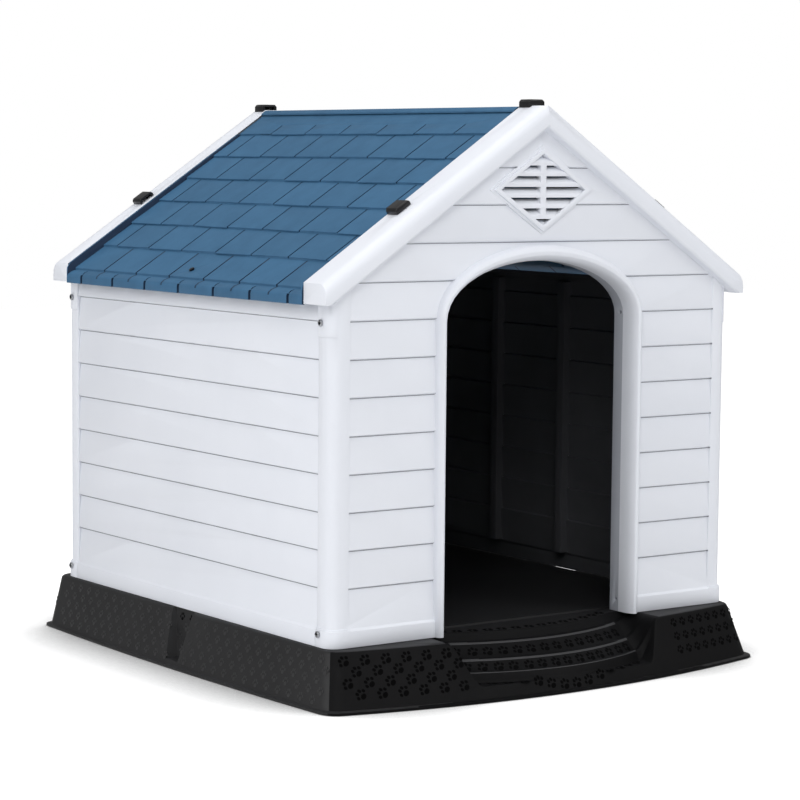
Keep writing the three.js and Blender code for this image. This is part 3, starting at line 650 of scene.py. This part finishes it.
def placeTab(model, row, y0, y1):
    start, end = courseEnds(row)
    drop = random.uniform(*roofPlan["overhang"])
    tilt = random.uniform(-roofPlan["tilt"], roofPlan["tilt"])
    tab = copyOf(model, "tab")
    for corner in tab.data.vertices:
        at = corner.co.copy()
        across = at.y + 0.5
        down = end + drop + tilt * (across - 0.5) if at.x < -0.5 else start
        surface = roofPlan["foot"] if at.x < -0.5 else roofPlan["head"]
        up = surface + roofPlan["lift"] if at.z > -0.5 else surface - 0.0016
        corner.co = (-down, y0 + (y1 - y0) * across, up)
    roundTab(tab)
    for face in tab.data.polygons:
        # the tab's lower edge and its sides get the painted navy shade
        face.material_index = 1 if face.normal.x < -0.75 or abs(face.normal.y) > 0.75 else 0
    tone = tabToneAt(row, (y0 + y1) / 2)
    addTone(tab, lambda at: tone)
    for corner in tab.data.vertices:
        corner.co = roofPoint(-corner.co.x, corner.co.y, corner.co.z)
    return tab


def modelTabs():
    model = modelTab()
    tabs = []
    for row in range(roofPlan["courses"]):
        shift = 0 if row % 2 == 0 else 0.5
        edges = [roofPlan["frontY"]]
        for k in range(-5, 5):
            joint = roofPlan["middleY"] + (k + shift) * roofPlan["tabWide"]
            if roofPlan["frontY"] + 0.012 < joint < roofPlan["rearY"] - 0.012:
                edges.append(joint)
        edges.append(roofPlan["rearY"])
        for low, high in zip(edges, edges[1:]):
            half = roofPlan["joint"] / 2
            tabs.append(placeTab(model, row, low + half, high - half))
    bpy.data.objects.remove(model)
    return joinPieces(tabs, "shingles.left")


def mirrored(piece, name):
    other = copyOf(piece, name)
    for corner in other.data.vertices:
        corner.co.x = -corner.co.x
    other.data.flip_normals()
    return other


def rowAt(down):
    if down < roofPlan["firstCourse"]:
        return 0
    return 1 + int((down - roofPlan["firstCourse"]) / roofPlan["courseStep"])


# painted shade: grooves, risers, the inner side of the rims and what lies under the tabs get a deep navy
# that stands for their shade
def shadeGrooves(shell):
    for face in shell.data.polygons:
        down, up = roofPlace(face.center)
        way = face.normal
        aside = abs(face.center.y - roofPlan["centreY"])
        inner = 0.03 < down < roofPlan["turnDown"] + 0.012
        start, end = courseEnds(rowAt(down))
        rise = roofPlan["foot"] - roofPlan["head"]
        surface = roofPlan["head"] + rise * (down - start) / (end - start)
        deep = inner and -0.0062 < up < surface - 0.0005 and abs(way.x) < 0.8
        rim = inner and abs(way.y) > 0.7 and up > -0.002 and aside < 0.2935
        slit = abs(way.y) > 0.7 and down > 0.37 and aside < 0.29
        under = 0.054 < down < 0.339 and -0.008 < up < 0.0005 and abs(way.y) < 0.3 and way.z > 0.3
        off = (face.center.y - roofPlan["middleY"]) / roofPlan["tabWide"]
        onJoint = abs(off - round(off)) * roofPlan["tabWide"] < roofPlan["joint"] / 2
        bend = 0.341 < down < 0.412 and onJoint and aside < 0.28
        if deep or rim or slit or under or bend:
            face.material_index = 1


# the last row's joints run on over the bend into the slits of the eave
def cutBend(shell):
    for k in range(-4, 4):
        for side in (-0.5, 0.5):
            y = roofPlan["middleY"] + k * roofPlan["tabWide"] + side * roofPlan["joint"]
            if not roofPlan["frontY"] + 0.008 < y < roofPlan["rearY"] - 0.008:
                continue
            editOn(shell)
            bpy.ops.mesh.select_all(action="DESELECT")
            mesh = bmesh.from_edit_mesh(shell.data)
            for face in mesh.faces:
                middle = face.calc_center_median()
                down, up = roofPlace(middle)
                face.select = 0.341 < down < 0.414 and up > -0.012 and abs(face.normal.y) < 0.4
            bmesh.update_edit_mesh(shell.data)
            bpy.ops.mesh.bisect(plane_co=(0, y, 0), plane_no=(0, 1, 0))
            editOff()


shinglesLeft = modelTabs()
shinglesRight = mirrored(shinglesLeft, "shingles.right")
for sideName, shingles in (("left", shinglesLeft), ("right", shinglesRight)):
    setMaterials(shingles, roofBlue, grooveShade)
    pick(shingles)
    bpy.ops.object.shade_smooth_by_angle(angle=math.radians(30))
    standFor(shingles, "roof_" + sideName, "roof_blue")
    shell = softCopy("roof_panel_" + sideName, "roofShell." + sideName, 0.0004)
    setMaterials(shell, roofBlue, grooveShade)
    cutBend(shell)
    addTone(shell, lambda at: tabToneAt(rowAt(roofPlace(at)[0]), at.y))
    shadeGrooves(shell)
    standFor(shell, "roof_" + sideName, "roof_blue", "roof_panel_" + sideName)
    screw = softCopy("roof_screw_" + sideName, "roofScrew." + sideName, 0.0002)
    # painted shade: the roof screws get a dark steel that stands for the shade of their recesses
    setMaterials(screw, screwShade)
    standFor(screw, "roof_" + sideName, "screw_steel", "roof_screw_" + sideName)
print("roof made")

for end in ("front", "rear"):
    for place in ("left", "peak", "right"):
        clip = softCopy(f"roof_clip_{end}_{place}", f"roofClip.{end}.{place}", 0.0008, 3)
        setMaterials(clip, clipBlack)
        standFor(clip, f"clip_{end}_{place}", "clip_black", f"roof_clip_{end}_{place}")
    for side in ("left", "right"):
        for level in ("upper", "lower"):
            name = f"corner_screw_{end}_{side}_{level}"
            screw = softCopy(name, f"cornerScrew.{end}.{side}.{level}", 0.0004)
            setMaterials(screw, screwSteel)
            standFor(screw, "house", "screw_steel", name)
print("clips and screws made")

stageLook = {
    "floorSize": 14.0,
    "floorColour": (0.86, 0.86, 0.86),
    "floorSeen": (0.34, 0.34, 0.34),
    "cameraLift": 1.0,
    # the painted soft shadow close to the base, from ambient occlusion: how far it reaches, and its dark
    # and light ends
    "shadowReach": 0.2,
    "shadowEnds": (0.58, 0.94),
    "worldLow": (0.50, 0.50, 0.50),
    "worldHigh": (0.98, 0.98, 0.98),
    "worldStrength": 0.44,
}
lamps = [
    {"name": "keyLamp", "at": (-2.6, -3.6, 3.4), "size": 2.6, "watts": 96},
    {"name": "leftLamp", "at": (-4.2, 0.4, 2.4), "size": 2.4, "watts": 60},
    {"name": "rightLamp", "at": (2.2, -3.4, 3.6), "size": 2.6, "watts": 58},
    {"name": "topLamp", "at": (0.3, -0.2, 4.6), "size": 3.2, "watts": 58},
]
lampsAim = (0, 0, 0.35)
cameraView = {
    "lens": 116.03,
    "azimuth": -35.472,
    "elevation": 5.410,
    "roll": 0.515,
    "at": (-2.0165, -2.8270, 0.6613),
}


# a white floor for the camera with a painted contact shadow: its glow drops by ambient occlusion close
# to the house
def addFloor():
    deselectAll()
    bpy.ops.mesh.primitive_plane_add(size=stageLook["floorSize"], location=(0, 0, -0.0003))
    floor = bpy.context.object
    floor.name = "floor"
    editOn(floor)
    bpy.ops.mesh.select_all(action="SELECT")
    bpy.ops.mesh.subdivide(number_cuts=3)
    editOff()
    material = bpy.data.materials.new("floorPale")
    material.use_nodes = True
    tree = material.node_tree
    tree.nodes.clear()
    make = tree.nodes.new
    link = tree.links.new
    out = make("ShaderNodeOutputMaterial")
    both = make("ShaderNodeAddShader")
    pale = make("ShaderNodeBsdfDiffuse")
    glow = make("ShaderNodeEmission")
    near = make("ShaderNodeAmbientOcclusion")
    near.samples = 8
    near.inputs["Distance"].default_value = stageLook["shadowReach"]
    edge = make("ShaderNodeMapRange")
    edge.inputs["From Min"].default_value = stageLook["shadowEnds"][0]
    edge.inputs["From Max"].default_value = stageLook["shadowEnds"][1]
    link(near.outputs["AO"], edge.inputs["Value"])
    path = make("ShaderNodeLightPath")
    seen = make("ShaderNodeMath")
    seen.operation = "MAXIMUM"
    link(path.outputs["Is Camera Ray"], seen.inputs[0])
    link(path.outputs["Is Transmission Ray"], seen.inputs[1])
    tone = make("ShaderNodeMix")
    tone.data_type = "RGBA"
    tone.inputs[6].default_value = (*stageLook["floorColour"], 1)
    tone.inputs[7].default_value = (*stageLook["floorSeen"], 1)
    link(seen.outputs[0], tone.inputs[0])
    link(tone.outputs[2], pale.inputs["Color"])
    part = make("ShaderNodeMath")
    part.operation = "MULTIPLY"
    link(seen.outputs[0], part.inputs[0])
    link(edge.outputs["Result"], part.inputs[1])
    lift = make("ShaderNodeMath")
    lift.operation = "MULTIPLY"
    lift.inputs[1].default_value = stageLook["cameraLift"]
    link(part.outputs[0], lift.inputs[0])
    link(lift.outputs[0], glow.inputs["Strength"])
    link(pale.outputs[0], both.inputs[0])
    link(glow.outputs[0], both.inputs[1])
    link(both.outputs[0], out.inputs["Surface"])
    setMaterials(floor, material)


# seen by the camera the surroundings are white; what they shine is a plain studio
def setWorld():
    world = bpy.data.worlds.new("studio")
    bpy.context.scene.world = world
    world.use_nodes = True
    tree = world.node_tree
    tree.nodes.clear()
    make = tree.nodes.new
    link = tree.links.new
    out = make("ShaderNodeOutputWorld")
    shine = make("ShaderNodeBackground")
    shine.inputs["Strength"].default_value = stageLook["worldStrength"]
    white = make("ShaderNodeBackground")
    white.inputs["Color"].default_value = (1, 1, 1, 1)
    place = make("ShaderNodeTexCoord")
    split = make("ShaderNodeSeparateXYZ")
    link(place.outputs["Generated"], split.inputs[0])
    rise = make("ShaderNodeMapRange")
    rise.inputs["From Min"].default_value = -0.1
    rise.inputs["From Max"].default_value = 0.9
    link(split.outputs["Z"], rise.inputs["Value"])
    colour = make("ShaderNodeMix")
    colour.data_type = "RGBA"
    colour.inputs[6].default_value = (*stageLook["worldLow"], 1)
    colour.inputs[7].default_value = (*stageLook["worldHigh"], 1)
    link(rise.outputs["Result"], colour.inputs[0])
    link(colour.outputs[2], shine.inputs["Color"])
    path = make("ShaderNodeLightPath")
    choose = make("ShaderNodeMixShader")
    link(path.outputs["Is Camera Ray"], choose.inputs[0])
    link(shine.outputs[0], choose.inputs[1])
    link(white.outputs[0], choose.inputs[2])
    link(choose.outputs[0], out.inputs["Surface"])


def addLamps():
    for lamp in lamps:
        light = bpy.data.lights.new(lamp["name"], "AREA")
        light.shape = "SQUARE"
        light.size = lamp["size"]
        light.energy = lamp["watts"]
        thing = bpy.data.objects.new(lamp["name"], light)
        bpy.context.scene.collection.objects.link(thing)
        at = Vector(lamp["at"])
        thing.location = at
        thing.rotation_euler = (Vector(lampsAim) - at).to_track_quat("-Z", "Y").to_euler()


def addCamera():
    data = bpy.data.cameras.new("photoCamera")
    data.lens = cameraView["lens"]
    data.sensor_width = 36
    data.clip_end = 60
    camera = bpy.data.objects.new("photoCamera", data)
    bpy.context.scene.collection.objects.link(camera)
    azimuth = math.radians(cameraView["azimuth"])
    elevation = math.radians(cameraView["elevation"])
    roll = math.radians(cameraView["roll"])
    flat = math.cos(elevation)
    back = Vector((math.sin(azimuth) * flat, -math.cos(azimuth) * flat, math.sin(elevation)))
    level = Vector((math.cos(azimuth), math.sin(azimuth), 0))
    above = back.cross(level)
    across = level * math.cos(roll) + above * math.sin(roll)
    upward = above * math.cos(roll) - level * math.sin(roll)
    turn = Matrix((across, upward, back)).transposed().to_4x4()
    camera.matrix_world = Matrix.Translation(cameraView["at"]) @ turn
    bpy.context.scene.camera = camera


addFloor()
setWorld()
addLamps()
addCamera()
bpy.context.scene.view_settings.view_transform = "Standard"
print("floor, light and camera set")
